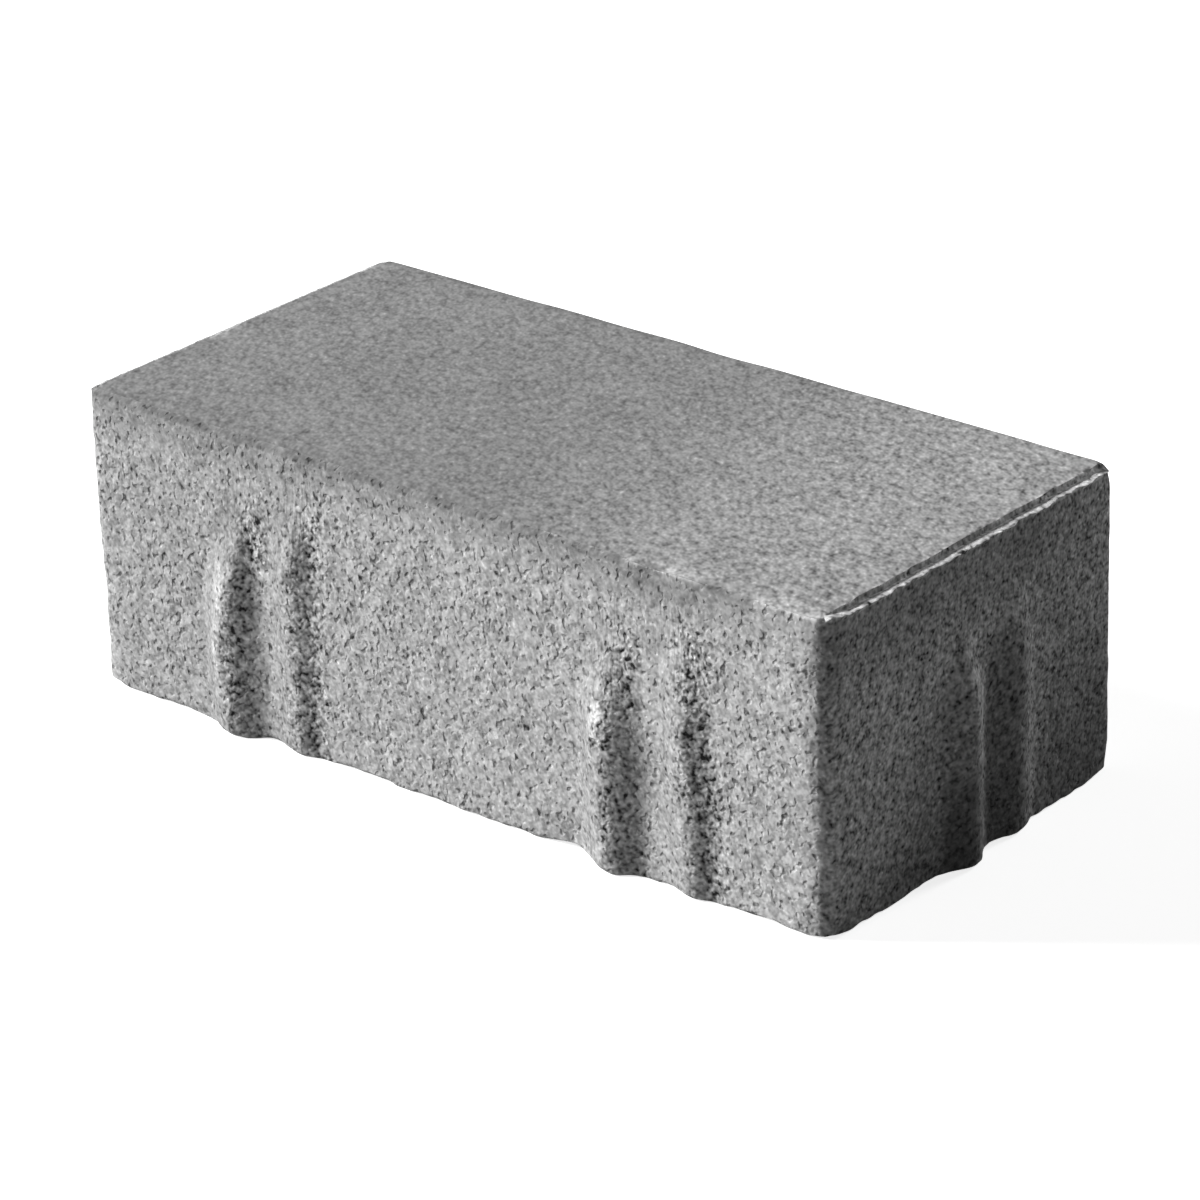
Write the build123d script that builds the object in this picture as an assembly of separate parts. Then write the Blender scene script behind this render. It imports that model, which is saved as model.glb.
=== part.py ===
from build123d import *

import os
from dataclasses import dataclass

# Permeable concrete paver, cast as one piece. Millimetres, +X along the length, +Y across the
# width, +Z up. The origin is the middle of the bottom, so the paver lies on the plane z = 0.

# Laying grid: the ribs hold the pavers apart, and rain drains through the joint left between them
MODULE_LENGTH = 240.0
MODULE_WIDTH = 120.0
JOINT_WIDTH = 10.0
HEIGHT = 80.0
LENGTH = MODULE_LENGTH - JOINT_WIDTH
WIDTH = MODULE_WIDTH - JOINT_WIDTH
CORNER_RADIUS = 2.5

# Rim of the walking surface: at each end a steep step drops to a narrow flat ledge, while each
# long side has only a small rounded arris
STEP_DROP = 1.0
STEP_WIDTH = 0.3
LEDGE_WIDTH = 2.7
SIDE_ARRIS_RADIUS = 0.6

# Bottom arris, all round the plan and the rib feet
BOTTOM_ARRIS_RADIUS = 1.0


@dataclass(frozen=True)
class Rib:
    """A spacer rib: how far it stands out, how wide it is, where it ends, and its place."""

    height: float
    width: float  # at the wall
    crest: float  # the flat along its top, between the rounded shoulders
    full_to: float  # it stands out by its whole height from the ground up to here
    fades_at: float  # and runs out into the wall here
    offset: float  # along the wall from its station, anticlockwise round the plan


# A pair of ribs stands to one side of its station. The neighbour's pair faces it turned half
# round, so that its tall rib lies opposite the gap and the ribs make an even comb in the joint.
RIB_PITCH = 20.0
TALL_RIB = Rib(height=4.3, width=18.5, crest=1.0, full_to=40.0, fades_at=58.0, offset=-RIB_PITCH / 4)
LOW_RIB = Rib(height=2.2, width=16.0, crest=1.0, full_to=46.0, fades_at=63.0, offset=RIB_PITCH * 3 / 4)

# How deep a rib is rooted in the wall, and how far its tip dips below the wall as it fades
ROOT_DEPTH = 3.0
TIP_DEPTH = 0.1

# Each wall of the plan: the turn that makes +Y face outwards, how far out it is, and the stations
# of its rib pairs, which lie half a module apart on the long sides and mid-width on the ends
LONG_SIDE_STATIONS = (-MODULE_LENGTH / 4, MODULE_LENGTH / 4)
END_STATIONS = (0.0,)
WALLS = (
    (0, WIDTH / 2, LONG_SIDE_STATIONS),
    (90, LENGTH / 2, END_STATIONS),
    (180, WIDTH / 2, LONG_SIDE_STATIONS),
    (270, LENGTH / 2, END_STATIONS),
)


def rib_section(shape, height, level):
    """Plan section of a rib: a flat crest, an S of two arcs down each flank to level, and its root."""
    foot = shape.width / 2
    shoulder = shape.crest / 2
    turn = ((foot + shoulder) / 2, level + height / 2)
    with BuildSketch() as section:
        with BuildLine():
            Line((0, level + height), (shoulder, level + height))
            TangentArc((shoulder, level + height), turn, tangent=(1, 0))
            TangentArc((foot, level), turn, tangent=(-1, 0))
            Polyline((foot, level), (foot, -ROOT_DEPTH), (0, -ROOT_DEPTH))
            mirror(about=Plane.YZ)
        make_face()
    return section.sketch


def rib(shape):
    """A rib on the wall y = 0, facing +Y: a straight shaft, then a run-out that sinks into the wall."""
    section = rib_section(shape, shape.height, level=0)
    tip = rib_section(shape, TIP_DEPTH, level=-TIP_DEPTH)
    shaft = extrude(section, amount=shape.full_to)
    run_out = loft([Pos(0, 0, shape.full_to) * section, Pos(0, 0, shape.fades_at) * tip], ruled=True)
    return Pos(-shape.offset, 0, 0) * (shaft + run_out)


def ribs():
    """The pair of ribs, repeated at every station of every wall."""
    pair = [rib(TALL_RIB), rib(LOW_RIB)]
    return [
        Rot(0, 0, turn) * Pos(station, distance, 0) * one
        for turn, distance, stations in WALLS
        for station in stations
        for one in pair
    ]


def walking_surface():
    """The layer between the two ledges: from the foot of one end step to the foot of the other."""
    foot = LENGTH / 2 - LEDGE_WIDTH
    head = foot - STEP_WIDTH
    ledge = HEIGHT - STEP_DROP
    elevation = Polygon((-foot, ledge), (foot, ledge), (head, HEIGHT), (-head, HEIGHT), align=None)
    return extrude(Plane.XZ * elevation, amount=WIDTH / 2, both=True)


def block():
    """The block up to its ledges, with the walking surface on it and its long arrises rounded."""
    base = extrude(RectangleRounded(LENGTH, WIDTH, CORNER_RADIUS), amount=HEIGHT - STEP_DROP)
    whole = base + walking_surface()
    side_arrises = whole.edges().filter_by(Axis.X).group_by(Axis.Z)[-1]
    return fillet(side_arrises, SIDE_ARRIS_RADIUS)


def paver():
    """The whole paver: the block and its ribs as one solid, with the bottom arris rounded."""
    cast = block() + ribs()
    bottom_arris = cast.faces().sort_by(Axis.Z)[0].outer_wire().edges()
    return fillet(bottom_arris, BOTTOM_ARRIS_RADIUS)


os.makedirs("parts", exist_ok=True)
export_step(paver(), "parts/paver.step")
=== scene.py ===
import itertools
import logging
import math
from dataclasses import dataclass, replace
from enum import Enum

import bpy
import numpy as np
from mathutils import Matrix, Vector


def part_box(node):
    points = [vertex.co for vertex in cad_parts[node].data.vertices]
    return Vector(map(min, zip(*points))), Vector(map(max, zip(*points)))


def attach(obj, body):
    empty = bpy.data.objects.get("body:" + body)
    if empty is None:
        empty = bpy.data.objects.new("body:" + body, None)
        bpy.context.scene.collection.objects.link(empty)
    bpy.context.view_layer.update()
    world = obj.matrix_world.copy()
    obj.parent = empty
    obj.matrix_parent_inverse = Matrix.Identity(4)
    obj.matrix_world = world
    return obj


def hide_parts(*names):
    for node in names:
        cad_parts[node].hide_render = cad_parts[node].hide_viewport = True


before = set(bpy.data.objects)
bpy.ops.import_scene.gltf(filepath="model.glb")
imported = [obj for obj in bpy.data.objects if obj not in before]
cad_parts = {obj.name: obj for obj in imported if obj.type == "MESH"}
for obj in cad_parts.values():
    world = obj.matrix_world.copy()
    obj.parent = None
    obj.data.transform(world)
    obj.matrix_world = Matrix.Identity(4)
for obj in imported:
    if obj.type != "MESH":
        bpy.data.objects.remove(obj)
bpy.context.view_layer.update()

log = logging.getLogger("paver")

# Sizes are in millimetres, and MM turns them into the metres of the frame
MM = 0.001

# How far the ribs stand out in the solid, and how far the walking face has settled in the mould
RIB_HEIGHT = 4.3
SETTLED = 0.35


class Side(Enum):
    """The four walls, anticlockwise from above: the way along each, and the way out of it."""

    FRONT = ((1.0, 0.0), (0.0, -1.0))
    RIGHT = ((0.0, 1.0), (1.0, 0.0))
    BACK = ((-1.0, 0.0), (0.0, 1.0))
    LEFT = ((0.0, -1.0), (-1.0, 0.0))


SIDES = list(Side)


def smooth(value: np.ndarray, low: float, high: float) -> np.ndarray:
    """Rises from 0 at low to 1 at high along 3t^2 - 2t^3, or falls where low is above high."""
    share = np.clip((value - low) / (high - low), 0.0, 1.0)
    return share * share * (3.0 - 2.0 * share)


class Lattice:
    """Random fields in space, read from a wrapped cube of random numbers."""

    side = 64  # how many numbers the cube has along an edge

    def __init__(self, seed: int) -> None:
        """Fills the cube with numbers that come from the seed."""
        random = np.random.default_rng(seed)
        cube = (self.side, self.side, self.side)
        self.values = random.uniform(-1.0, 1.0, cube)
        self.seats = random.uniform(0.0, 1.0, (*cube, 3))

    def waves(self, points: np.ndarray, period: float) -> np.ndarray:
        """Value noise: the eight numbers round a point, mixed by 6t^5 - 15t^4 + 10t^3 on each axis.

        Args:
            points: places, (..., 3).
            period: the distance between two numbers of the cube.

        Returns:
            Values from -1 to 1, (...).
        """
        scaled = points / period
        cell = np.floor(scaled).astype(int)
        part = scaled - cell
        ease = part**3 * (part * (part * 6.0 - 15.0) + 10.0)
        total = np.zeros(points.shape[:-1])
        for corner in itertools.product((0, 1), repeat=3):
            near = (cell + corner) % self.side
            weight = np.where(corner, ease, 1.0 - ease).prod(axis=-1)
            total += weight * self.values[near[..., 0], near[..., 1], near[..., 2]]
        return total

    def stones(self, points: np.ndarray, period: float) -> np.ndarray:
        """Cells round one random seat in each cube: each point has the number of the nearest seat.

        Args:
            points: places, (..., 3).
            period: the size of a cube.

        Returns:
            Values from -1 to 1, (...).
        """
        scaled = points / period
        cell = np.floor(scaled).astype(int)
        nearest = np.full(points.shape[:-1], np.inf)
        number = np.zeros(points.shape[:-1])
        for step in itertools.product((-1, 0, 1), repeat=3):
            near = (cell + step) % self.side
            index = (near[..., 0], near[..., 1], near[..., 2])
            gap = np.linalg.norm(cell + step + self.seats[index] - scaled, axis=-1)
            number = np.where(gap < nearest, self.values[index], number)
            nearest = np.minimum(nearest, gap)
        return number


@dataclass(frozen=True)
class Rib:
    """A spacer rib on one wall: a rounded crest between S-shaped flanks, running out into the wall."""

    side: Side
    crest: tuple[float, float, float, float]  # where its crest is along the wall at CREST_LEVELS
    feet: tuple[float, float]  # where its flanks meet the wall
    height: float  # out from the wall
    full_to: float  # it has its whole height up to here
    fades_at: float  # and is gone here
    taper: float = 0.5  # how much narrower it is where it fades

    def growth(self, level: np.ndarray) -> np.ndarray:
        """How much of its height it has at each level, from 0 to 1."""
        return smooth(level, self.fades_at, self.full_to)

    def middle(self, level: np.ndarray) -> np.ndarray:
        """Where its crest is along the wall: the cubic through its four places."""
        return np.polyval(np.polyfit(CREST_LEVELS, self.crest, 3), np.clip(level, 0.0, self.fades_at))

    def swell(self, along: np.ndarray, level: np.ndarray) -> np.ndarray:
        """How far the wall stands out: half a cosine wave from the crest down to either foot.

        Args:
            along: places along the wall.
            level: heights over the ground.

        Returns:
            The distance outwards.
        """
        grown = self.growth(level)
        narrow = 1.0 - self.taper * (1.0 - grown)
        middle = self.middle(level)
        away = along - middle
        flank = np.where(away < 0.0, middle - self.feet[0], self.feet[1] - middle)
        down = np.clip(np.abs(away) / (flank * narrow), 0.0, 1.0)
        return self.height * grown * 0.5 * (1.0 + np.cos(math.pi * down))


@dataclass(frozen=True)
class Chip:
    """A shallow dent: the surface sinks by depth, less by exp(-(distance / reach)^2) around it."""

    place: tuple[float, float, float]
    reach: float
    depth: float

    def hollow(self, points: np.ndarray) -> np.ndarray:
        """How far the surface sinks at each point."""
        away = np.linalg.norm(points - np.array(self.place), axis=-1)
        return self.depth * np.exp(-((away / self.reach) ** 2))


@dataclass(frozen=True)
class Blot:
    """A soft spot: the tone changes by lift, less by exp(-distance^2), in reaches, around it."""

    place: tuple[float, float, float]
    reach: tuple[float, float, float]
    lift: float

    def change(self, points: np.ndarray) -> np.ndarray:
        """By what share the tone changes at each point."""
        away = (points - np.array(self.place)) / np.array(self.reach)
        return self.lift * np.exp(-(away**2).sum(axis=-1))


# The levels at which a rib's crest is placed
CREST_LEVELS = (0.0, 16.0, 34.0, 54.0)
# Each of the six ribs that show, as it has come out
SHOWN_RIBS = (
    Rib(Side.FRONT, (-66.2, -69.6, -67.9, -63.4), (-79.0, -57.0), 4.15, 32.0, 64.0, 0.6),
    Rib(Side.FRONT, (-47.0, -46.3, -47.0, -46.0), (-55.8, -39.3), 2.35, 50.0, 68.0, 0.4),
    Rib(Side.FRONT, (53.6, 51.4, 51.2, 52.8), (40.6, 62.4), 4.15, 34.0, 62.0, 0.3),
    Rib(Side.FRONT, (77.0, 75.8, 74.6, 73.2), (65.8, 82.6), 2.35, 44.0, 68.0, 0.2),
    Rib(Side.RIGHT, (-5.0, -5.0, -4.6, -4.2), (-14.7, 4.6), 4.2, 38.0, 60.0, 0.5),
    Rib(Side.RIGHT, (14.5, 15.0, 15.4, 16.0), (5.2, 23.8), 2.2, 44.0, 66.0, 0.3),
)
# The shape that a hidden tall rib and a hidden low one vary about, with their crests at 0
HIDDEN_TALL = Rib(Side.BACK, (0.0, 0.0, 0.0, 0.0), (-9.2, 9.2), 4.15, 38.0, 58.0, 0.4)
HIDDEN_LOW = Rib(Side.BACK, (0.0, 0.0, 0.0, 0.0), (-7.8, 7.8), 2.2, 45.0, 62.0, 0.4)
# Stations of a tall rib and its low one on the walls that don't show
HIDDEN_STATIONS = ((Side.BACK, -65.0, -45.0), (Side.BACK, 55.0, 75.0), (Side.LEFT, -5.0, 15.0))
# How far a crest wanders from one of its levels to the next, and how far the two ends of a run-out vary
CREST_WANDER = 0.9
RUN_OUT_SPREAD = (6.0, 2.5)


def hidden_ribs(seed: int) -> tuple[Rib, ...]:
    """The pairs on the other two walls, each a little off its nominal shape.

    Args:
        seed: what the small differences come from.

    Returns:
        One tall and one low rib for each station.
    """
    random = np.random.default_rng(seed)
    made = []
    for side, tall_at, low_at in HIDDEN_STATIONS:
        for nominal, middle in ((HIDDEN_TALL, tall_at), (HIDDEN_LOW, low_at)):
            wander = np.cumsum(random.uniform(-CREST_WANDER, CREST_WANDER, len(CREST_LEVELS)))
            feet = tuple(middle + foot for foot in nominal.feet)
            full, fades = random.uniform(-1.0, 1.0, 2) * RUN_OUT_SPREAD
            full, fades = nominal.full_to + full, nominal.fades_at + fades
            crest = tuple(middle + wander)
            one = replace(nominal, side=side, crest=crest, feet=feet)
            made.append(replace(one, full_to=full, fades_at=fades))
    return tuple(made)


# Painted light and shade: a painted shadow in the bruise on the front arris, and painted highlights and
# painted shade on the flanks of the ribs that show
PAINTED_LIGHT_AND_SHADE_SPOTS = (
    Blot((69.0, -55.5, 75.0), (11.0, 4.0, 4.0), -0.27),
    Blot((50.6, -58.0, 39.0), (2.4, 6.0, 6.0), 0.6),
    Blot((-69.6, -58.0, 39.0), (2.4, 6.0, 7.0), 0.65),
    Blot((-71.8, -58.0, 22.0), (1.4, 6.0, 10.0), 0.45),
    Blot((58.5, -57.0, 20.0), (4.0, 6.0, 26.0), -0.32),
    Blot((80.0, -57.0, 22.0), (3.5, 6.0, 22.0), -0.12),
    Blot((-56.5, -56.0, 30.0), (3.0, 6.0, 18.0), 0.16),
    Blot((-43.0, -57.0, 25.0), (4.0, 6.0, 22.0), 0.27),
    Blot((-63.5, -57.0, 24.0), (4.0, 6.0, 20.0), -0.16),
)
# Knocks on the edges: one on the front arris, three on the bottom edge and one on a far upper corner
CHIPS = (
    Chip((66.0, -54.6, 79.4), 4.5, 0.8),
    Chip((39.0, -55.0, 1.0), 5.0, 1.2),
    Chip((114.0, -54.0, 0.5), 4.5, 0.6),
    Chip((114.5, 54.5, 0.5), 5.0, 0.7),
    Chip((114.6, 54.6, 78.6), 3.0, 0.8),
)
# How deep each upright corner is worn: its signs in x and y, and the depth
CORNER_WEAR = ((1.0, -1.0, 1.1), (-1.0, -1.0, 0.9), (-1.0, 1.0, 0.4), (1.0, 1.0, 0.2))


@dataclass
class Paver:
    """The cast block with its ribs and its rim, as one closed skin."""

    length: float
    width: float
    height: float
    corner_radius: float = 2.9
    corner_reach: float = 4.2  # how far the wear of an upright corner spreads
    ledge_width: float = 2.3
    ledge_rise: float = 0.2  # how much higher a ledge is at its outer edge
    lip: float = 0.35  # how far the ragged lip hangs over the wall
    left_share: float = 0.3  # how rough the left end's rim is, next to the right one's
    step_width: float = 0.35
    step_drop: float = 1.25
    edge_round: float = 0.9  # how far below the ledge the wall starts to round
    side_arris: float = 0.6
    worn_width: float = 4.4  # of the front arris where it is soft
    arris: float = 1.3  # of the bottom edge
    columns: tuple[int, int] = (272, 216)  # along a long and a short wall
    wall_rows: int = 79
    arris_rows: int = 4
    rim_rows: int = 11
    coarse: int = 4  # one column of the top and the bed face for this many of the walls
    top_edge: tuple[float, float] = (6.0, 1.0)  # how far in the top's even grid starts, and its corners
    bed_edge: tuple[float, float] = (3.5, 2.0)
    seed: int = 11

    def __post_init__(self) -> None:
        """Works out the loop of columns that runs round the plan, and where the rim starts."""
        long, short = self.columns
        counts = (long, short, long, short)
        self.side = np.repeat(np.arange(4), counts)
        step = np.concatenate([np.arange(count) / count for count in counts])
        halves = np.array([self.length, self.width, self.length, self.width]) / 2
        self.half = halves[self.side]
        self.out = halves[(self.side + 1) % 4]
        self.straight = self.half - self.corner_radius
        reach = self.straight + self.corner_radius * math.pi / 4
        self.run = (2.0 * step - 1.0) * reach
        self.way = np.array([side.value[0] for side in SIDES])[self.side]
        self.face = np.array([side.value[1] for side in SIDES])[self.side]
        self.lattice = Lattice(self.seed)
        self.ribs = SHOWN_RIBS + hidden_ribs(self.seed)
        self.rim_start = self.height - self.step_drop - self.edge_round

    def on(self, side: Side) -> np.ndarray:
        """Which columns of the loop are on that wall."""
        return self.side == SIDES.index(side)

    def loop(
        self, inset: float | np.ndarray, radius: float | np.ndarray, level: float | np.ndarray
    ) -> np.ndarray:
        """A closed loop of the plan, drawn in from the walls: straight runs, and arcs at the corners.

        Args:
            inset: how far it is drawn in. A number makes one loop, and (rows, columns) a set of them.
            radius: its corner radius, likewise.
            level: its height over the ground, likewise.

        Returns:
            Points, (columns, 3) or (rows, columns, 3).
        """
        turn = np.maximum(np.abs(self.run) - self.straight, 0.0) / self.corner_radius
        reach = self.half - inset - radius
        along = reach * np.clip(self.run / self.straight, -1.0, 1.0)
        along = along + np.sign(self.run) * radius * np.sin(turn)
        out = self.out - inset - radius * (1.0 - np.cos(turn))
        level, along, out = np.broadcast_arrays(level, along, out)
        for rib in self.ribs:
            out = out + self.on(rib.side) * rib.swell(along, level)
        plan = along[..., None] * self.way + out[..., None] * self.face
        return np.concatenate([plan, level[..., None]], axis=-1)

    def arris_loops(self) -> np.ndarray:
        """The bottom arris: a quarter circle from the bed face to the wall, uneven along the edge."""
        quarter = np.linspace(0.0, math.pi / 2, self.arris_rows, endpoint=False)[:, None]
        edge = self.loop(0.0, self.corner_radius, 0.0)
        wear = 0.7 * self.lattice.waves(edge, 7.0) + 0.4 * self.lattice.waves(edge, 3.1)
        size = self.arris * (1.0 + np.clip(wear, -0.6, 0.9))
        inset, level = size * (1.0 - np.sin(quarter)), size * (1.0 - np.cos(quarter))
        return self.loop(inset, self.corner_radius, level)

    def wall_loops(self) -> np.ndarray:
        """The walls, from the arris up to the rim."""
        level = np.linspace(self.arris, self.rim_start, self.wall_rows, endpoint=False)[:, None]
        return self.loop(0.0, self.corner_radius, level)

    def rim_loops(self) -> np.ndarray:
        """The rim: the mix of an end's, a sharp side's and a worn side's profile at each column."""
        edge = self.loop(0.0, self.corner_radius, self.height)
        inset, level = self.end_profile(edge)
        shares = (1.0 - self.end_share(), self.rim_wear(edge))
        for share, profile in zip(shares, (self.sharp_profile(), self.worn_profile())):
            inset = inset + share * (profile[0] - inset)
            level = level + share * (profile[1] - level)
        radius = np.maximum(self.corner_radius - 0.75 * inset, 0.9)
        return self.cut_through(self.loop(inset, radius, level))

    def end_profile(self, edge: np.ndarray) -> tuple[np.ndarray, np.ndarray]:
        """An end's rim: a ragged lip, a ledge that sinks a little inwards, and a steep step.

        The profile is a chain of points from the wall in to the walking face, read evenly.

        Args:
            edge: points of the rim, (columns, 3).

        Returns:
            How far in and how high each point is, (rows, columns).
        """
        foot, head = self.ledge_width, self.ledge_width + self.step_width
        lip = (0.0, -0.6 * self.lip, -self.lip, 0.3)
        chain = (*lip, 0.8, 1.3, 2.0, foot, 0.5 * (foot + head), head, head + 0.8)
        knots = np.linspace(0.0, 1.0, len(chain))
        share = np.linspace(0.0, 1.0, self.rim_rows)
        inset = np.interp(share, knots, chain)[:, None]
        rough = np.where(self.on(Side.LEFT), self.left_share, 1.0)
        ledge = np.interp(inset, (lip[-1], foot), (self.ledge_rise, 0.0)) * rough
        ledge = ledge - self.step_drop * self.step_share(edge)
        below = np.interp(share, knots[: len(lip)], (1.0, 0.5, 0.1, 0.0))[:, None]
        level = self.height + ledge - below * (self.edge_round + self.ledge_rise)
        level[0] = self.rim_start
        climb = np.interp(share, knots[[7, 9]], (0.0, 1.0))[:, None]
        level = level * (1.0 - climb) + self.height * climb

        outer = smooth(inset, 1.6, 0.0) * smooth(share, 0.0, 0.2)[:, None]
        ragged = 0.5 * self.lattice.waves(edge, 1.3) + 0.45 * self.lattice.waves(edge, 3.3)
        uneven = 0.25 * self.lattice.waves(edge + 60.0, 4.0) * smooth(inset, 1.6, foot)
        level = level + 0.22 * self.lattice.waves(edge + 30.0, 1.7) * outer * rough
        inset = inset + outer * (ragged * rough + self.lip * (1.0 - rough))
        return inset + uneven * smooth(share, 1.0, 0.9)[:, None], level

    def sharp_profile(self) -> tuple[np.ndarray, np.ndarray]:
        """How far in and how high a sharp side's rim is: a small chamfer, then flat."""
        top, knots = self.height, (0.0, 0.25, 0.5, 1.0)
        share = np.linspace(0.0, 1.0, self.rim_rows)[:, None]
        inset = np.interp(share, knots, (0.0, 0.0, self.side_arris, self.worn_width))
        return inset, np.interp(share, knots, (self.rim_start, top - self.side_arris, top, top))

    def worn_profile(self) -> tuple[np.ndarray, np.ndarray]:
        """How far in and how high a worn side's rim is: a quarter ellipse."""
        quarter = np.linspace(0.0, math.pi / 2, self.rim_rows)[:, None]
        level = self.rim_start + (self.height - self.rim_start) * np.sin(quarter)
        return self.worn_width * (1.0 - np.cos(quarter)), level

    def step_share(self, edge: np.ndarray) -> np.ndarray:
        """How much of the step's drop there is: none at the near end of the right-hand ledge."""
        return 1.0 - self.on(Side.RIGHT) * smooth(edge[..., 1], -42.0, -56.0)

    def end_share(self) -> np.ndarray:
        """How much each column has an end's rim: 1 on the ends, easing to 0 at the long sides."""
        ends = self.side % 2 == 1
        return ends * smooth(np.abs(self.run), self.half + 0.2, self.half - 2.2)

    def cut_through(self, loops: np.ndarray) -> np.ndarray:
        """Lowers what lies outside an end's step, so that the ledge runs out at the back."""
        x, y, z = np.moveaxis(loops, -1, 0)
        foot = self.length / 2 - self.ledge_width
        past = smooth(np.abs(x), foot - self.step_width, foot)
        far = np.where(x > 0.0, smooth(y, 40.0, 46.0), 1.0)
        limit = self.height - (self.step_drop - 0.1) * past * far
        return np.stack([x, y, np.minimum(z, limit)], axis=-1)

    def rim_wear(self, edge: np.ndarray) -> np.ndarray:
        """How worn the long arrises are: the front's is soft but for its sharp part, the back's uneven.

        Args:
            edge: points of the rim.

        Returns:
            Shares from 0, sharp, to 1, soft.
        """
        back = 0.7 + 0.3 * self.lattice.waves(edge, 17.0)
        front = 1.0 - self.sharp_part(edge[..., 0])
        return np.where(self.on(Side.FRONT), front, back) * (1.0 - self.end_share())

    def corner_wear(self, points: np.ndarray) -> np.ndarray:
        """How the upright corners are worn: each draws in along its diagonal by its depth.

        The depth is uneven, and less by exp(-(distance / reach)^2) around the corner.

        Args:
            points: places on the skin, (n, 3).

        Returns:
            Moves, (n, 3).
        """
        moves = np.zeros_like(points)
        for x, y, depth in CORNER_WEAR:
            corner = np.array([x * self.length, y * self.width]) / 2
            away = np.linalg.norm(points[:, :2] - corner, axis=1)
            size = depth * (1.0 + 0.4 * self.lattice.waves(points, 4.0))
            size = size * np.exp(-((away / self.corner_reach) ** 2))
            moves[:, :2] -= size[:, None] * np.array([x, y]) / math.sqrt(2)
        return moves

    def sharp_part(self, x: np.ndarray) -> np.ndarray:
        """Where the front's arris is still sharp: a patch, and its right-hand end."""
        return np.maximum(smooth(x, 93.0, 99.0), smooth(x, 56.0, 60.0) * smooth(x, 84.0, 76.0))

    def border(self, columns: tuple[int, int]) -> tuple[np.ndarray, np.ndarray]:
        """Where the loop's columns are on the edge of a grid of that many columns."""
        long, short = columns
        along, across = np.arange(long), np.arange(short)
        first = np.concatenate([along, np.full(short, long), long - along, np.zeros(short, int)])
        other = np.concatenate([np.zeros(long, int), across, np.full(long, short), short - across])
        return first, other

    def patch(self, loop: np.ndarray, columns: tuple[int, int]) -> np.ndarray:
        """Fills a loop with a grid: each point is the mix of the four edges, less that of the corners.

        Args:
            loop: the edge's points, (columns, 3).
            columns: the grid's cells along its two ways.

        Returns:
            Points, (long + 1, short + 1, 3).
        """
        long, short = columns
        grid = np.zeros((long + 1, short + 1, 3))
        grid[self.border(columns)] = loop
        s = np.linspace(0.0, 1.0, long + 1)[:, None, None]
        t = np.linspace(0.0, 1.0, short + 1)[None, :, None]
        across = (1 - t) * grid[:, :1] + t * grid[:, -1:]
        along = (1 - s) * grid[:1] + s * grid[-1:]
        near = (1 - s) * grid[0, 0] + s * grid[-1, 0]
        far = (1 - s) * grid[0, -1] + s * grid[-1, -1]
        return across + along - (1 - t) * near - t * far

    def skin(self) -> tuple[np.ndarray, np.ndarray, np.ndarray]:
        """Joins the loops and the two faces into one closed skin.

        Returns:
            Points (n, 3), four-sided faces (m, 4) and three-sided faces (k, 3), all facing outwards.
        """
        loops = np.concatenate([self.arris_loops(), self.wall_loops(), self.rim_loops()])
        rows, count = loops.shape[:2]
        places = np.arange(rows * count).reshape(rows, count)
        onward = np.roll(places, -1, axis=1)
        walls = np.stack([places[:-1], onward[:-1], onward[1:], places[1:]], axis=-1).reshape(-1, 4)

        top_loop = self.loop(*self.top_edge, self.height)
        top, top_quads, top_seam = self.lid(top_loop, places[-1], rows * count)
        bed_loop = self.loop(*self.bed_edge, 0.0)
        bed, bed_quads, bed_seam = self.lid(bed_loop, places[0], rows * count + len(top))
        points = np.concatenate([loops.reshape(-1, 3), top, bed])
        quads = np.concatenate([walls, top_quads, bed_quads[:, ::-1]])
        return points, quads, np.concatenate([top_seam, bed_seam[:, ::-1]])

    def lid(self, loop: np.ndarray, fine: np.ndarray, first: int) -> tuple[np.ndarray, ...]:
        """A face that closes the block, on a coarser grid than the walls.

        Args:
            loop: the face's edge, with as many columns as the walls.
            fine: the numbers of the walls' last points, which it joins.
            first: the number of its first new point.

        Returns:
            Its new points, its four-sided faces and the triangles to the walls, facing up.
        """
        columns = (self.columns[0] // self.coarse, self.columns[1] // self.coarse)
        edge = loop[:: self.coarse]
        ring = first + np.arange(len(edge))
        patch = self.patch(edge, columns)
        inside = patch[1:-1, 1:-1].reshape(-1, 3)
        grid = np.zeros(patch.shape[:2], int)
        grid[self.border(columns)] = ring
        grid[1:-1, 1:-1].flat = first + len(edge) + np.arange(len(inside))
        return np.concatenate([edge, inside]), self.cells(grid), self.seam(fine, ring)

    def cells(self, grid: np.ndarray) -> np.ndarray:
        """The four-sided faces of a numbered grid, facing up."""
        corners = (grid[:-1, :-1], grid[1:, :-1], grid[1:, 1:], grid[:-1, 1:])
        return np.stack(corners, axis=-1).reshape(-1, 4)

    def seam(self, fine: np.ndarray, few: np.ndarray) -> np.ndarray:
        """Triangles between a loop of the walls and the coarser loop inside it, facing up."""
        a, b = few, np.roll(few, -1)
        f = [np.roll(fine, -step)[:: self.coarse] for step in range(self.coarse + 1)]
        corners = [(f[0], f[1], a), (f[1], f[2], a), (a, f[2], b), (f[2], f[3], b), (f[3], f[4], b)]
        return np.concatenate([np.stack(corner, axis=-1) for corner in corners])


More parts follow.
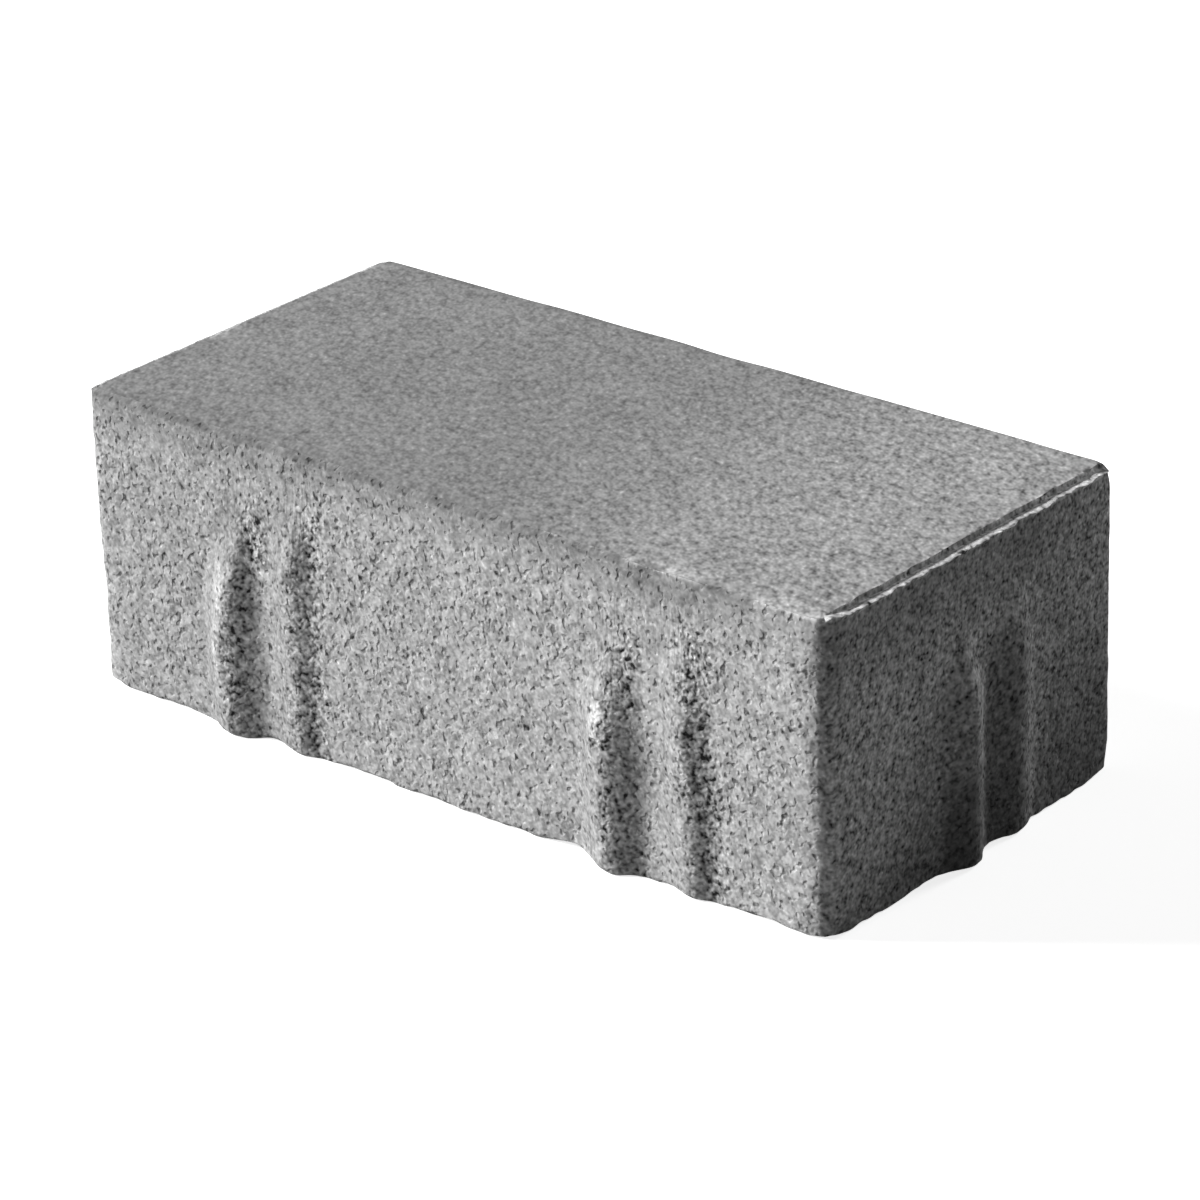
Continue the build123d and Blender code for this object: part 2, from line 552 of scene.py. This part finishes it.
def normals(points: np.ndarray, quads: np.ndarray, triangles: np.ndarray) -> np.ndarray:
    """Unit normals of the points: the sum of their faces' normals, each as long as its face is large.

    Args:
        points: places, (n, 3).
        quads: four-sided faces.
        triangles: three-sided faces.

    Returns:
        Unit vectors, (n, 3).
    """
    halves = np.concatenate([quads[:, [0, 1, 2]], quads[:, [0, 2, 3]], triangles])
    a, b, c = (points[halves[:, corner]] for corner in range(3))
    across = np.cross(b - a, c - a)
    total = np.zeros_like(points)
    for corner, axis in itertools.product(range(3), repeat=2):
        total[:, axis] += np.bincount(halves[:, corner], across[:, axis], len(points))
    return total / np.linalg.norm(total, axis=1, keepdims=True)


def placed(name: str, data: bpy.types.ID) -> bpy.types.Object:
    """Makes an object of this data and puts it in the scene."""
    made = bpy.data.objects.new(name, data)
    bpy.context.scene.collection.objects.link(made)
    return made


# How the noises are turned to the walls, in radians, and the way in which grains on top are drawn out
NOISE_TILT = (0.52, 0.38, 0.61)
DRAWN_WAY = math.radians(-41.0)


class Graph:
    """A node tree that is written from left to right."""

    def __init__(self, tree: bpy.types.NodeTree) -> None:
        """Takes the tree that the nodes go into, and empties it."""
        self.tree = tree
        tree.nodes.clear()

    def add(self, kind: str, inputs: dict | None = None, **settings: object) -> bpy.types.Node:
        """Adds a node.

        Args:
            kind: the node's type, without the words that all shader nodes start with.
            inputs: its sockets' values, or the sockets that feed them, by name or number.
            settings: its own settings.

        Returns:
            The node.
        """
        node = self.tree.nodes.new("ShaderNode" + kind)
        for name, value in settings.items():
            setattr(node, name, value)
        for name, value in (inputs or {}).items():
            self.feed(node.inputs[name], value)
        return node

    def feed(self, socket: bpy.types.NodeSocket, value: object) -> None:
        """Gives a socket its value, or joins it to the socket that feeds it."""
        if isinstance(value, bpy.types.NodeSocket):
            self.tree.links.new(value, socket)
        else:
            socket.default_value = value

    def math(self, operation: str, *values: object) -> bpy.types.NodeSocket:
        """The result of one sum on up to three values."""
        return self.add("Math", dict(enumerate(values)), operation=operation).outputs[0]

    def total(self, *terms: tuple[object, object]) -> bpy.types.NodeSocket:
        """Adds up value times weight over the terms."""
        result = 0.0
        for value, weight in terms:
            result = self.math("MULTIPLY_ADD", value, weight, result)
        return result

    def rise(self, value: object, low: object, high: object) -> bpy.types.NodeSocket:
        """Eases from 0 at low to 1 at high."""
        inputs = {"Value": value, "From Min": low, "From Max": high}
        return self.add("MapRange", inputs, interpolation_type="SMOOTHSTEP").outputs["Result"]

    def noise(self, place: object, size: object, detail: float) -> bpy.types.Node:
        """Noise whose patches are about size millimetres apart."""
        inputs = {"Vector": place, "Scale": self.math("DIVIDE", 1.0 / MM, size), "Detail": detail}
        return self.add("TexNoise", inputs)

    def vector(self, operation: str, value: object, other: object) -> bpy.types.NodeSocket:
        """The result of one sum on two vectors, or on a vector and a scale."""
        name = "Scale" if operation == "SCALE" else 1
        return self.add("VectorMath", {0: value, name: other}, operation=operation).outputs[0]

    def tilted(self, place: object) -> bpy.types.NodeSocket:
        """The place turned askew, so that a noise's rows lie along no wall."""
        inputs = {"Vector": place, "Rotation": NOISE_TILT}
        return self.add("VectorRotate", inputs, rotation_type="EULER_XYZ").outputs[0]

    def group(self, tree: bpy.types.NodeTree, **inputs: object) -> bpy.types.bpy_prop_collection:
        """Adds a node group with these inputs, and gives its outputs."""
        return self.add("Group", inputs, node_tree=tree).outputs

    def attribute(self, name: str) -> bpy.types.NodeSocket:
        """One of the skin's own values."""
        return self.add("Attribute", attribute_name=name, attribute_type="GEOMETRY").outputs["Fac"]


class Effects:
    """The shared node groups that the finishes are made of."""

    def __init__(self) -> None:
        """Builds each group once."""
        self.sand = self.make_sand()
        self.pores = self.make_pores()
        self.stones = self.make_stones()
        self.streaks = self.make_streaks()

    def start(self, name: str, inputs: dict[str, float], outputs: tuple[str, ...]) -> tuple:
        """Makes a group with a Place vector, number inputs and number outputs.

        Args:
            name: the group's name.
            inputs: number inputs and their defaults.
            outputs: number outputs.

        Returns:
            The group, its graph, its inputs by name and the node that takes its outputs.
        """
        group = bpy.data.node_groups.new(name, "ShaderNodeTree")
        group.interface.new_socket("Place", in_out="INPUT", socket_type="NodeSocketVector")
        for label, value in inputs.items():
            socket = group.interface.new_socket(label, in_out="INPUT", socket_type="NodeSocketFloat")
            socket.default_value = value
        for label in outputs:
            group.interface.new_socket(label, in_out="OUTPUT", socket_type="NodeSocketFloat")
        graph = Graph(group)
        source = group.nodes.new("NodeGroupInput")
        return group, graph, source.outputs, group.nodes.new("NodeGroupOutput").inputs

    def make_sand(self) -> bpy.types.NodeTree:
        """Grains of sand: two sizes of noise as a tone, the larger as a height, and bright grains."""
        labels = ("Tone", "Height", "Glint")
        group, graph, given, out = self.start("sand_grain", {"Size": 1.0}, labels)
        coarse = graph.noise(given["Place"], given["Size"], detail=1.0).outputs["Fac"]
        small = graph.math("MULTIPLY", given["Size"], 0.5)
        fine = graph.noise(given["Place"], small, detail=0.0).outputs["Fac"]
        graph.feed(out["Tone"], graph.total((coarse, 6.0), (fine, 1.2), (1.0, -3.6)))
        graph.feed(out["Height"], graph.rise(coarse, 0.3, 0.7))
        graph.feed(out["Glint"], graph.rise(fine, 0.7, 0.88))
        return group

    def make_pores(self) -> bpy.types.NodeTree:
        """Open pores: the peaks of a noise."""
        inputs = {"Size": 1.5, "Start": 0.6, "Edge": 0.08}
        group, graph, given, out = self.start("open_pores", inputs, ("Mask",))
        noise = graph.noise(given["Place"], given["Size"], detail=0.3).outputs["Fac"]
        end = graph.math("ADD", given["Start"], given["Edge"])
        graph.feed(out["Mask"], graph.rise(noise, given["Start"], end))
        return group

    def make_stones(self) -> bpy.types.NodeTree:
        """Crushed stone under the skin: cells with a dark outline, a dome and a tone of their own."""
        labels = ("Seam", "Dome", "Tone")
        group, graph, given, out = self.start("crushed_stone", {"Size": 5.0, "Seam Width": 0.5}, labels)
        bend = graph.noise(given["Place"], 2.6, detail=2.0).outputs["Color"]
        bend = graph.vector("SUBTRACT", bend, (0.5, 0.5, 0.5))
        place = graph.vector("ADD", given["Place"], graph.vector("SCALE", bend, 2.4 * MM))
        edges = {"Vector": place, "Scale": graph.math("DIVIDE", 1.0 / MM, given["Size"])}
        edge = graph.add("TexVoronoi", edges, feature="DISTANCE_TO_EDGE").outputs["Distance"]
        cell = graph.add("TexVoronoi", edges, feature="F1")
        width = graph.math("DIVIDE", given["Seam Width"], given["Size"])
        graph.feed(out["Seam"], graph.rise(edge, width, 0.0))
        graph.feed(out["Dome"], graph.rise(cell.outputs["Distance"], 0.75, 0.0))
        shade = graph.add("SeparateColor", {"Color": cell.outputs["Color"]}).outputs["Red"]
        graph.feed(out["Tone"], graph.math("MULTIPLY_ADD", shade, 2.0, -1.0))
        return group

    def make_streaks(self) -> bpy.types.NodeTree:
        """Drag marks of the mould: noise drawn out along the height."""
        group, graph, given, out = self.start("drag_streaks", {"Width": 0.8, "Length": 8.0}, ("Tone",))
        share = graph.math("DIVIDE", given["Width"], given["Length"])
        squeeze = graph.add("CombineXYZ", {"X": 1.0, "Y": 1.0, "Z": share}).outputs[0]
        place = graph.vector("MULTIPLY", given["Place"], squeeze)
        noise = graph.noise(place, given["Width"], detail=1.0).outputs["Fac"]
        graph.feed(out["Tone"], graph.math("MULTIPLY_ADD", noise, 4.0, -2.0))
        return group


@dataclass(frozen=True)
class Concrete:
    """A finish of the dry-cast concrete, and the walls' own values for it.

    Sizes and depths are in millimetres, and the rest are shares.
    """

    name: str
    tone: float = 0.46
    sand_size: float = 1.6
    sand_depth: float = 0.09
    sand_shade: float = 0.26
    glint_shade: float = 0.35
    pore_size: float = 1.35
    pore_start: float = 0.555
    pore_edge: float = 0.26
    pore_depth: float = 0.24
    # painted shade in the pores, standing in for the shade in their hollows
    pore_painted_shade: float = 0.54
    stone_size: float = 5.0
    stone_depth: float = 0.15
    stone_shade: float = 0.06
    drag_depth: float = 0.08
    drag_shade: float = 0.12
    drawn_out: float = 1.0  # how much longer than wide its grains are
    patch_size: float = 8.0
    patch_share: float = 0.35
    patch_shade: float = 0.04
    mottle_size: float = 19.0
    mottle_shade: float = 0.03
    # painted shade on the worn long upper arrises, where their rounding would catch the light
    worn_arris_painted_shade: float = 0.38
    roughness: float = 0.92
    shine: float = 0.3

    def build(self, effects: Effects) -> bpy.types.Material:
        """Makes the material.

        Args:
            effects: the shared node groups.

        Returns:
            The material, with its tone and its relief worked out from the place on the paver.
        """
        made = bpy.data.materials.new(self.name)
        made.use_nodes = True
        graph = Graph(made.node_tree)
        place = graph.add("TexCoord").outputs["Object"]
        turn = {"Vector": place, "Angle": DRAWN_WAY}
        turned = graph.add("VectorRotate", turn, rotation_type="Z_AXIS").outputs[0]
        drawn = graph.vector("MULTIPLY", turned, (1.0, 1.0 / self.drawn_out, 1.0))
        sand = graph.group(effects.sand, Place=graph.tilted(drawn), Size=self.sand_size)
        mottle = graph.group(effects.sand, Place=place, Size=self.mottle_size)["Tone"]
        patches = graph.group(effects.sand, Place=place, Size=self.patch_size)["Tone"]
        stones = graph.group(effects.stones, Place=place, Size=self.stone_size)
        streaks = graph.group(effects.streaks, Place=place)["Tone"]
        dragged = graph.math("MULTIPLY", streaks, graph.attribute("dragged"))
        opened = graph.attribute("open_texture")
        varied = graph.math("MULTIPLY_ADD", patches, self.patch_share, 1.0)
        rough = graph.math("MULTIPLY", opened, varied)
        seam = graph.math("MULTIPLY", stones["Seam"], rough)
        start = graph.total((rough, -0.05), (seam, -0.03), (1.0, self.pore_start + 0.05))
        pore_inputs = {"Place": graph.tilted(place), "Size": self.pore_size}
        pores = graph.group(effects.pores, Start=start, Edge=self.pore_edge, **pore_inputs)["Mask"]
        grain = graph.math("MULTIPLY", sand["Tone"], graph.attribute("grit"))

        height = graph.total(
            (graph.math("MULTIPLY", sand["Height"], rough), self.sand_depth),
            (stones["Dome"], self.stone_depth),
            (pores, -self.pore_depth),
            (dragged, self.drag_depth),
        )
        shade = graph.total(
            (1.0, 1.0),
            (grain, self.sand_shade),
            (sand["Glint"], self.glint_shade),
            (mottle, self.mottle_shade),
            (patches, -self.patch_shade),
            (stones["Tone"], self.stone_shade),
            # painted shade in the pores
            (pores, -self.pore_painted_shade),
            (dragged, self.drag_shade),
        )
        # the skin's tone changes, most of them painted light and shade
        shade = graph.math("MULTIPLY", shade, graph.attribute("tone_with_painted_light"))
        # painted shade on the worn long upper arrises
        left = graph.math("MULTIPLY_ADD", graph.attribute("worn"), -self.worn_arris_painted_shade, 1.0)
        shade = graph.math("MULTIPLY", shade, left)
        grey = (self.tone, self.tone, self.tone)
        colour = graph.vector("SCALE", grey, shade)
        bump = graph.add("Bump", {"Strength": 1.0, "Distance": MM, "Height": height}).outputs["Normal"]
        inputs = {"Base Color": colour, "Roughness": self.roughness, "Specular IOR Level": self.shine}
        shader = graph.add("BsdfPrincipled", {**inputs, "Normal": bump})
        graph.add("OutputMaterial", {"Surface": shader.outputs[0]})
        return made


WALL = Concrete("wall_concrete")
# The walking face's tone is set far below the walls': painted shade, so that the top renders darker
# than the front under the key lamp
WALKING = replace(
    WALL,
    name="walking_concrete",
    tone=0.262,
    sand_size=1.5,
    sand_depth=0.03,
    sand_shade=0.29,
    glint_shade=0.3,
    pore_start=0.74,
    pore_depth=0.08,
    pore_painted_shade=0.15,
    stone_depth=0.0,
    stone_shade=0.0,
    drawn_out=1.7,
    patch_share=0.3,
    patch_shade=0.02,
    mottle_size=15.0,
    mottle_shade=0.055,
    worn_arris_painted_shade=0.06,
)
BED = replace(WALL, name="bed_concrete", pore_size=2.2, pore_start=0.56, pore_depth=0.8)


def toward(azimuth: float, elevation: float) -> Vector:
    """The way out from the paver, in degrees round it from the front and over the floor."""
    a, e = math.radians(azimuth), math.radians(elevation)
    return Vector((math.sin(a) * math.cos(e), -math.cos(a) * math.cos(e), math.sin(e)))


@dataclass(frozen=True)
class Lamp:
    """A square soft light that faces the paver. Angles are in degrees and lengths in metres.

    Its power makes a white card that faces it render at level: pi squared times the distance squared.
    """

    name: str
    azimuth: float
    elevation: float
    distance: float
    size: float
    level: float

    def build(self) -> bpy.types.Object:
        """Makes the lamp and puts it in its place."""
        light = bpy.data.lights.new(self.name, "AREA")
        light.size = self.size
        light.energy = self.level * math.pi**2 * self.distance**2
        way = toward(self.azimuth, self.elevation)
        made = placed(self.name, light)
        turn = way.to_track_quat("Z", "Y").to_matrix().to_4x4()
        made.matrix_world = Matrix.Translation(way * self.distance) @ turn
        return made


@dataclass
class Studio:
    """The floor, the light and the camera. Lengths are in millimetres and angles in degrees."""

    floor_half: float = 3000.0
    floor_drop: float = 0.05  # keeps the floor clear of the bed face
    floor_seen: float = 0.8  # what lifts it to white for the camera
    floor_bounce: float = 0.35  # how much light it gives back to the paver
    sky_level: float = 0.05
    lamps: tuple[Lamp, ...] = (
        Lamp("key", azimuth=-62.0, elevation=28.0, distance=5.0, size=1.6, level=1.78),
        Lamp("back", azimuth=168.0, elevation=25.0, distance=3.0, size=0.5, level=0.28),
    )
    camera_place: tuple[float, float, float] = (730.88, -838.538, 544.861)
    camera_azimuth: float = 40.976
    camera_elevation: float = 24.705
    camera_roll: float = 1.882
    camera_lens: float = 151.649
    camera_sensor: float = 36.0

    def build(self) -> None:
        """Sets the studio up."""
        self.floor()
        self.sky()
        for lamp in self.lamps:
            log.info("%s lamp", lamp.build().name)
        self.camera()

    def floor(self) -> bpy.types.Object:
        """A flat pale floor. To the camera it is lifted to white where light falls on it."""
        side = np.array([-1.0, 1.0]) * self.floor_half * MM
        x, y = np.meshgrid(side, side, indexing="ij")
        points = np.stack([x, y, np.full_like(x, -self.floor_drop * MM)], axis=-1).reshape(-1, 3)
        mesh = bpy.data.meshes.new("floor")
        mesh.from_pydata(points.tolist(), [], [(0, 2, 3, 1)])
        made = bpy.data.materials.new("floor_white")
        made.use_nodes = True
        graph = Graph(made.node_tree)
        path = graph.add("LightPath").outputs
        seen = graph.math("MAXIMUM", path["Is Camera Ray"], path["Is Glossy Ray"])
        seen = graph.math("MAXIMUM", seen, path["Is Transmission Ray"])
        white = graph.add("BsdfDiffuse", {"Color": (0.9, 0.9, 0.9, 1.0)}).outputs[0]
        glow = {"Color": (1.0, 1.0, 1.0, 1.0), "Strength": self.floor_seen}
        glow = graph.add("Emission", glow).outputs[0]
        shown = graph.add("AddShader", {0: white, 1: glow}).outputs[0]
        grey = (self.floor_bounce, self.floor_bounce, self.floor_bounce, 1.0)
        bounce = graph.add("BsdfDiffuse", {"Color": grey}).outputs[0]
        mixed = graph.add("MixShader", {0: seen, 1: bounce, 2: shown}).outputs[0]
        graph.add("OutputMaterial", {"Surface": mixed})
        mesh.materials.append(made)
        floor = placed("floor", mesh)
        return floor

    def sky(self) -> None:
        """Even light from all round, which looks white to the camera."""
        world = bpy.data.worlds.new("studio")
        bpy.context.scene.world = world
        world.use_nodes = True
        graph = Graph(world.node_tree)
        seen = graph.add("LightPath").outputs["Is Camera Ray"]
        level = graph.math("MULTIPLY_ADD", seen, 1.0 - self.sky_level, self.sky_level)
        light = graph.add("Background", {"Color": (1.0, 1.0, 1.0, 1.0), "Strength": level})
        graph.add("OutputWorld", {"Surface": light.outputs[0]})

    def camera(self) -> None:
        """The camera, placed and turned as the photograph was taken."""
        data = bpy.data.cameras.new("camera")
        data.sensor_width = self.camera_sensor
        data.lens = self.camera_lens
        camera = placed("camera", data)
        back = toward(self.camera_azimuth, self.camera_elevation)
        level = Vector((0.0, 0.0, 1.0)).cross(back).normalized()
        turn = Matrix((level, back.cross(level), back)).transposed()
        turn = turn @ Matrix.Rotation(math.radians(-self.camera_roll), 3, "Z")
        camera.matrix_world = Matrix.Translation(Vector(self.camera_place) * MM) @ turn.to_4x4()
        bpy.context.scene.camera = camera


class Face(Enum):
    """A face by the way it looks, and the cosines to it between which a point comes to be on it."""

    FRONT = ((0.0, -1.0, 0.0), 0.1, 0.6)
    RIGHT = ((1.0, 0.0, 0.0), 0.1, 0.6)
    LEFT = ((-1.0, 0.0, 0.0), 0.1, 0.6)
    TOP = ((0.0, 0.0, 1.0), 0.6, 0.9)

    def share(self, facing: np.ndarray) -> np.ndarray:
        """How much each point is on it, from 0 to 1, by its unit normal."""
        way, low, high = self.value
        return smooth(facing @ np.array(way), low, high)


@dataclass(frozen=True)
class Shade:
    """A change of tone on one face, mostly painted light and shade: the tone changes by lift, less
    outside its borders.

    A border is an axis and two places on it. The change is gone at the first and whole at the second.
    """

    face: Face
    lift: float
    borders: tuple[tuple[str, float, float], ...] = ()

    def change(self, points: np.ndarray, facing: np.ndarray) -> np.ndarray:
        """By what share the tone changes: lift times the face's and the borders' shares."""
        result = self.lift * self.face.share(facing)
        for axis, gone, whole in self.borders:
            result = result * smooth(points[:, "xyz".index(axis)], gone, whole)
        return result


SHADES = (
    # Painted shade on the front under its rim and at its near corner, where the rounding would catch
    # the light; and the front is a little lighter to the right
    Shade(Face.FRONT, -0.3, (("z", 66.0, 79.0), ("x", 108.0, 88.0))),
    Shade(Face.FRONT, -0.22, (("x", 109.0, 115.0),)),
    Shade(Face.FRONT, -0.07),
    Shade(Face.FRONT, 0.1505, (("x", -110.0, 110.0),)),
    # Painted light makes the top lighter to the right, and the left-hand wall is a little darker
    Shade(Face.TOP, 0.38, (("x", 0.0, 88.0), ("z", 79.14, 79.16))),
    Shade(Face.LEFT, -0.18),
    # The right-hand wall, all painted light and shade: painted shade all over, and painted shadows on
    # the foot of its tall rib and that rib's crest, in the gap between the ribs, and on what lies
    # beyond them
    Shade(Face.RIGHT, -0.07),
    Shade(Face.RIGHT, -0.387, (("y", -13.5, -12.0), ("y", 3.0, 0.0), ("z", 27.0, 22.0))),
    Shade(Face.RIGHT, -0.15, (("y", -12.0, -6.0), ("y", 10.0, 4.0), ("z", 40.0, 30.0))),
    Shade(Face.RIGHT, -0.344, (("y", 3.5, 5.0), ("y", 22.0, 17.0), ("z", 58.0, 44.0))),
    Shade(Face.RIGHT, -0.323, (("y", 24.0, 32.0), ("z", 56.0, 10.0))),
    # and painted shade on its lowest part and on the band under its rim, and painted light along its
    # near edge
    Shade(Face.RIGHT, -0.2, (("z", 22.0, 2.0),)),
    Shade(Face.RIGHT, -0.28, (("z", 52.0, 72.0), ("y", 50.0, 20.0))),
    Shade(Face.RIGHT, 0.25, (("y", -50.0, -54.5),)),
)

# The relief's waves on each face: their periods and heights
WALL_WAVES = ((31.0, 0.10), (12.0, 0.08), (4.6, 0.08), (2.2, 0.08))
TOP_WAVES = ((24.0, 0.05),)
BED_WAVES = ((9.0, 0.2), (2.2, 0.1))


@dataclass
class Dressing:
    """What the casting and the handling have left on a skin, and the light and shade painted into its
    tone, worked out at each of its points.

    The arrays that its methods give are (n,), for n points.
    """

    paver: Paver
    points: np.ndarray
    facing: np.ndarray
    trailing_place: tuple[float, float] = (4.5, 4.0)  # of a flank beside the crest, and its width
    leading_place: tuple[float, float] = (-5.0, 4.5)
    hidden_share: float = 0.35  # how strongly the flanks of the hidden ribs differ from the wall
    stone_size: float = 5.4
    stone_relief: float = 0.08
    bed_rise: float = 0.3  # keeps the bed face's waves off the floor
    drag_width: float = 9.0
    drag_share: float = 0.6

    def __post_init__(self) -> None:
        """Works out which faces and flanks the points are on, and how far in from an end."""
        self.lattice = self.paver.lattice
        self.x, self.y, self.z = self.points.T
        self.end_inset = self.paver.length / 2 - np.abs(self.x)
        self.on_right = smooth(self.facing[:, 0], 0.3, 0.7)
        self.low = smooth(self.z, 79.0, 62.0)
        self.trailing = self.flank(*self.trailing_place)
        self.leading = self.flank(*self.leading_place)

    def flank(self, beside: float, width: float) -> np.ndarray:
        """How near each point is to a rib's flank, up to where the rib fades.

        Args:
            beside: how far the line is from the crest along the wall.
            width: how wide the flank is.

        Returns:
            Shares from 0 to 1.
        """
        result = np.zeros(len(self.points))
        for rib in self.paver.ribs:
            outwards = self.points[:, :2] @ np.array(rib.side.value[1])
            near = smooth(self.z, rib.fades_at + 4.0, rib.fades_at - 8.0) * (outwards > 50.0)
            share = 1.0 if rib in SHOWN_RIBS else self.hidden_share
            result = np.maximum(result, share * near * self.band(rib, beside, width))
        return result

    def band(self, rib: Rib, beside: float, width: float) -> np.ndarray:
        """How near each point is to a line beside a rib's crest: exp(-(distance / width)^2)."""
        away = self.points[:, :2] @ np.array(rib.side.value[0]) - rib.middle(self.z) - beside
        return np.exp(-((away / width) ** 2))

    def openness(self) -> np.ndarray:
        """How open the texture is: less near the rim and on the right, more on a trailing flank."""
        result = (0.45 + 0.55 * self.low) * (1.0 + 0.25 * self.lattice.waves(self.points, 13.0))
        result = result + 0.65 * self.trailing - 0.3 * self.leading
        return np.clip(result * (1.0 - 0.5 * self.on_right), 0.0, 1.7)

    def grit(self) -> np.ndarray:
        """How strong the sand shows: more on the right-hand wall, the trailing flanks and the top."""
        on_top = Face.TOP.share(self.facing) * smooth(self.x, -30.0, 90.0)
        flanks = self.trailing * (1.0 - self.on_right)
        return 0.8 + 0.2 * self.low + 0.9 * self.on_right + 1.7 * flanks + 0.3 * on_top

    def arrises(self) -> tuple[np.ndarray, np.ndarray]:
        """How much each point is on the worn part of a long upper arris, and on the sharp part."""
        arris = smooth(self.paver.width / 2 - np.abs(self.y), 6.0, 4.0)
        arris = arris * smooth(self.facing[:, 2], 0.05, 0.45) * (self.z > self.paver.height - 5.0)
        sharp = self.paver.sharp_part(self.x) * (self.y < 0.0)
        return arris * (1.0 - sharp), arris * sharp

    def worn(self) -> np.ndarray:
        """How much painted shade the worn, rounded part of the long upper arrises takes, where it would
        catch the light, from 0 to about 1.3.
        """
        return self.arrises()[0] * (1.0 + 0.35 * self.lattice.waves(self.points, 5.0))

    def ledge_paleness_and_painted_light(self) -> np.ndarray:
        """How much paler the ledges are: a little all along, with painted light in the right-hand one's
        shadowed inner part and a painted highlight on its lip.
        """
        low = self.paver.height - self.paver.step_drop - 0.5
        ledge = smooth(self.end_inset, 2.8, 2.6) * (self.z > low)
        # painted light in the shadowed groove at the foot of the right-hand step
        groove_painted_light = smooth(self.end_inset, 1.0, 2.0) * (self.x > 0.0)
        # painted highlight on the right-hand ledge's ragged lip
        lip = smooth(self.end_inset, 1.0, 0.3) * (self.x > 0.0) * smooth(self.y, -54.0, -46.0)
        lip = lip * (1.0 + 0.9 * self.lattice.waves(self.points, 2.0))
        return ledge * (0.15 + 0.5 * groove_painted_light + 0.5 * lip)

    def tones_with_painted_light(self) -> np.ndarray:
        """What the finish's tone is multiplied by: one plus each change in turn, most of them painted
        light and shade.
        """
        # Painted shade on the rib flanks: more on the leading ones, which face the key lamp, a little
        # on the trailing ones
        flanks = (0.22 * self.leading + 0.08 * self.trailing) * (1.0 - Face.RIGHT.share(self.facing))
        # Painted highlight along the sharp part of the front arris
        sharp = self.arrises()[1] * smooth(self.end_inset, 0.5, 2.5)
        result = (1.0 - flanks) * (1.0 + self.ledge_paleness_and_painted_light()) * (1.0 + 0.3 * sharp)
        for shade in SHADES:
            result = result * (1.0 + shade.change(self.points, self.facing))
        # painted highlights and painted shade at single spots
        for blot in PAINTED_LIGHT_AND_SHADE_SPOTS:
            result = result * (1.0 + blot.change(self.points))
        return result

    def dragged(self) -> np.ndarray:
        """How strong the mould's drag marks are: they show where the ribs run out into the wall."""
        result = np.zeros(len(self.points))
        for rib in self.paver.ribs:
            on_wall = smooth(self.facing[:, :2] @ np.array(rib.side.value[1]), 0.2, 0.6)
            run_out = smooth(self.z, rib.full_to, rib.fades_at - 8.0)
            run_out = run_out * smooth(self.z, rib.fades_at + 10.0, rib.fades_at)
            marks = on_wall * run_out * self.band(rib, 0.0, self.drag_width)
            result = np.maximum(result, self.drag_share * marks)
        return result

    def mixed(self, waves: tuple[tuple[float, float], ...]) -> np.ndarray:
        """The sum of waves of these periods and heights, at each point."""
        return sum(height * self.lattice.waves(self.points, period) for period, height in waves)

    def relief(self) -> np.ndarray:
        """How far out the skin stands: waves on each face, stones on the walls, and the chips."""
        upward = self.facing[:, 2]
        bend = [self.lattice.waves(self.points + shift, 3.4) for shift in (0.0, 40.0, 80.0)]
        stones = self.lattice.stones(self.points + 1.3 * np.stack(bend, axis=-1), self.stone_size)
        walls = self.mixed(WALL_WAVES) + self.stone_relief * self.openness() * stones
        result = smooth(np.abs(upward), 0.75, 0.35) * walls
        result = result + smooth(upward, 0.75, 0.95) * self.mixed(TOP_WAVES)
        result = result + smooth(-upward, 0.75, 0.95) * (self.mixed(BED_WAVES) - self.bed_rise)
        return result - sum(chip.hollow(self.points) for chip in CHIPS)


def dress(paver: Paver) -> bpy.types.Object:
    """Builds the paver's mesh with its values and materials.

    Args:
        paver: its shape.

    Returns:
        The object, in place of the plain solid.
    """
    cast, quads, triangles = paver.skin()
    facing = normals(cast, quads, triangles)
    plain = Dressing(paver, cast, facing)
    low, high = (np.array(corner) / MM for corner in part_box("paver"))
    points = np.clip(cast + plain.relief()[:, None] * facing + paver.corner_wear(cast), low, high)
    dressing = Dressing(paver, points, facing)

    mesh = bpy.data.meshes.new("concrete_block")
    mesh.from_pydata((points * MM).tolist(), [], quads.tolist() + triangles.tolist())
    values = {
        "open_texture": plain.openness(),
        "dragged": dressing.dragged(),
        # most of these tone changes are painted light and shade
        "tone_with_painted_light": dressing.tones_with_painted_light(),
        "grit": dressing.grit(),
        # painted shade on the worn upper arrises
        "worn": dressing.worn(),
    }
    for name, value in values.items():
        mesh.attributes.new(name, "FLOAT", "POINT").data.foreach_set("value", value.astype(np.float32))
    effects = Effects()
    for finish in (WALL, WALKING, BED):
        mesh.materials.append(finish.build(effects))
    height, upward = (
        np.concatenate([value[quads].mean(axis=1), value[triangles].mean(axis=1)])
        for value in (cast[:, 2], facing[:, 2])
    )
    walking = (height > paver.height - 0.5) & (upward > 0.8)
    index = np.where(walking, 1, np.where(height < 0.01, 2, 0))
    mesh.polygons.foreach_set("material_index", index.astype(np.int32))
    mesh.polygons.foreach_set("use_smooth", np.ones(len(mesh.polygons), bool))
    mesh.set_sharp_from_angle(angle=math.radians(50.0))
    mesh.update()
    made = placed("concrete_block", mesh)
    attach(made, "root")
    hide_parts("paver")
    return made


def main() -> None:
    """Builds the paver, the studio and the camera."""
    logging.basicConfig(level=logging.INFO, format="%(message)s")
    bpy.context.scene.view_settings.view_transform = "Standard"
    low, high = (np.array(corner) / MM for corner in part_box("paver"))
    length, width, height = high - low
    block = dress(Paver(length - 2 * RIB_HEIGHT, width - 2 * RIB_HEIGHT, height - SETTLED))
    log.info("%s: %d faces", block.name, len(block.data.polygons))
    Studio().build()
    bpy.context.view_layer.update()


if __name__ == "__main__":
    main()
